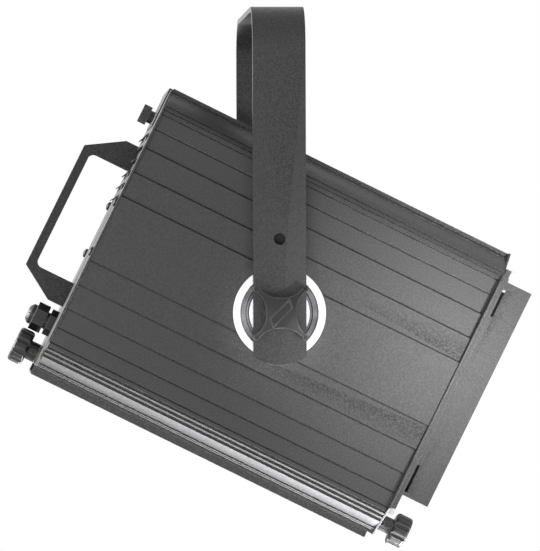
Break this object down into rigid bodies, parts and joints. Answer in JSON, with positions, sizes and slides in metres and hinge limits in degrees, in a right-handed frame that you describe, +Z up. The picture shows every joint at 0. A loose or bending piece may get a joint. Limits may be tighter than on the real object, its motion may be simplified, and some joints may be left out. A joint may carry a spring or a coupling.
{
  "type": "plano-convex spotlight",
  "caption": "Theatre plano-convex spotlight: finned, stepped housing in a U-shaped yoke, with a tilt knob, focus knobs, rear handle, hinged lens door and colour-frame holder.",
  "frame": {"origin": "centre of the clamp hole at the top face of the yoke", "axes": "+Z up along the clamp hole; +X to the front, where the beam leaves 26.4 degrees below level at rest; -Y towards the side with the tilt knob"},
  "size_m": [0.4976, 0.3289, 0.5206],
  "materials": {
    "charcoal_paint": "fine textured charcoal powder coat",
    "black_paint": "heat-proof matt black",
    "black_screws": "blackened pan-head screws",
    "black_plastic": "moulded black nylon, satin",
    "turned_aluminium": "bright turned faces",
    "zinc_steel": "zinc-plated steel",
    "spring_steel": "bright spring steel",
    "bronze": "sintered bronze",
    "fibre": "pressed friction fibre",
    "rubber": "sealing rubber",
    "ceramic": "glazed ceramic",
    "mirror": "polished aluminium mirror",
    "bulb_glass": "clear quartz glass",
    "lens_glass": "pressed clear glass"
  },
  "bodies": {
    "yoke": {"yoke": "charcoal_paint"},
    "housing": {"side_panel_left": "charcoal_paint", "side_panel_right": "charcoal_paint", "upper_shoulder_left": "charcoal_paint", "upper_shoulder_right": "charcoal_paint", "lower_shoulder_left": "charcoal_paint", "lower_shoulder_right": "charcoal_paint", "top_cover": "charcoal_paint", "light_baffle": "black_paint", "bottom_tray": "charcoal_paint", "rear_panel": "charcoal_paint", "rear_panel_screws": "black_screws", "rear_handle": "charcoal_paint", "handle_bolts": "zinc_steel", "handle_nuts": "zinc_steel", "gland_body": "black_plastic", "gland_nut": "black_plastic", "gland_seal": "rubber", "gland_locknut": "black_plastic", "terminal_block": "ceramic", "front_frame": "charcoal_paint", "front_frame_screws": "black_screws", "door_hinge_leaves": "zinc_steel", "door_hinge_pins": "zinc_steel", "door_catches": "spring_steel", "pivot_disc_left": "turned_aluminium", "pivot_disc_right": "turned_aluminium", "friction_washers": "fibre", "pivot_backing_plates": "zinc_steel", "pivot_bolt": "zinc_steel", "pivot_bolt_washer": "zinc_steel", "pivot_lock_nut": "zinc_steel", "carriage_rails": "zinc_steel", "rail_sockets": "zinc_steel", "spindle_bushes": "bronze"},
    "tilt_knob": {"tilt_knob": "black_plastic", "knob_stud": "zinc_steel", "knob_washer": "zinc_steel"},
    "focus_spindle": {"focus_spindle": "zinc_steel", "rear_focus_knob": "black_plastic", "front_focus_knob": "black_plastic"},
    "lamp_carriage": {"carriage_plate": "zinc_steel", "carriage_bushes": "bronze", "spindle_nut": "bronze", "lamp_bracket": "zinc_steel", "lamp_holder": "ceramic", "lamp_base": "ceramic", "lamp_bulb": "bulb_glass", "reflector": "mirror", "reflector_bracket": "zinc_steel"},
    "lens_door": {"lens_door": "charcoal_paint", "lens_cell": "black_paint", "lens": "lens_glass", "lens_retainer": "black_paint", "accessory_holder": "charcoal_paint", "frame_guides": "charcoal_paint", "holder_screws": "zinc_steel", "frame_catch_pin": "zinc_steel"},
    "frame_catch": {"frame_catch": "spring_steel"},
    "cover_thumbscrew": {"cover_thumbscrew": "black_plastic"}
  },
  "joints": [
    {"name": "housing_tilt", "type": "hinge", "parent": "yoke", "child": "housing", "pos_m": [0, 0, -0.29], "axis": [0, 1, 0], "range_deg": [-116, 63]},
    {"name": "tilt_knob_turn", "type": "hinge", "parent": "housing", "child": "tilt_knob", "pos_m": [0, -0.15, -0.29], "axis": [0, -1, 0], "range_deg": [0, 720]},
    {"name": "focus_turn", "type": "hinge", "parent": "housing", "child": "focus_spindle", "pos_m": [-0.06047, 0, -0.41182], "axis": [0.8957, 0, -0.4446], "range_deg": [-2161, 2161]},
    {"name": "carriage_slide", "type": "slide", "parent": "housing", "child": "lamp_carriage", "axis": [0.8957, 0, -0.4446], "range_m": [-0.06, 0.06]},
    {"name": "lens_door_swing", "type": "hinge", "parent": "housing", "child": "lens_door", "pos_m": [0.10918, 0, -0.47984], "axis": [0, 1, 0], "range_deg": [0, 80]},
    {"name": "frame_catch_swing", "type": "hinge", "parent": "lens_door", "child": "frame_catch", "pos_m": [0.22366, 0, -0.26002], "axis": [0, -1, 0], "range_deg": [0, 95]},
    {"name": "thumbscrew_turn", "type": "hinge", "parent": "housing", "child": "cover_thumbscrew", "pos_m": [-0.11772, 0, -0.09982], "axis": [-0.8957, 0, 0.4446], "range_deg": [0, 1080]}
  ],
  "couplings": [
    {"joint": "focus_turn", "follows": "carriage_slide", "rad_per_m": 628.32}
  ]
}
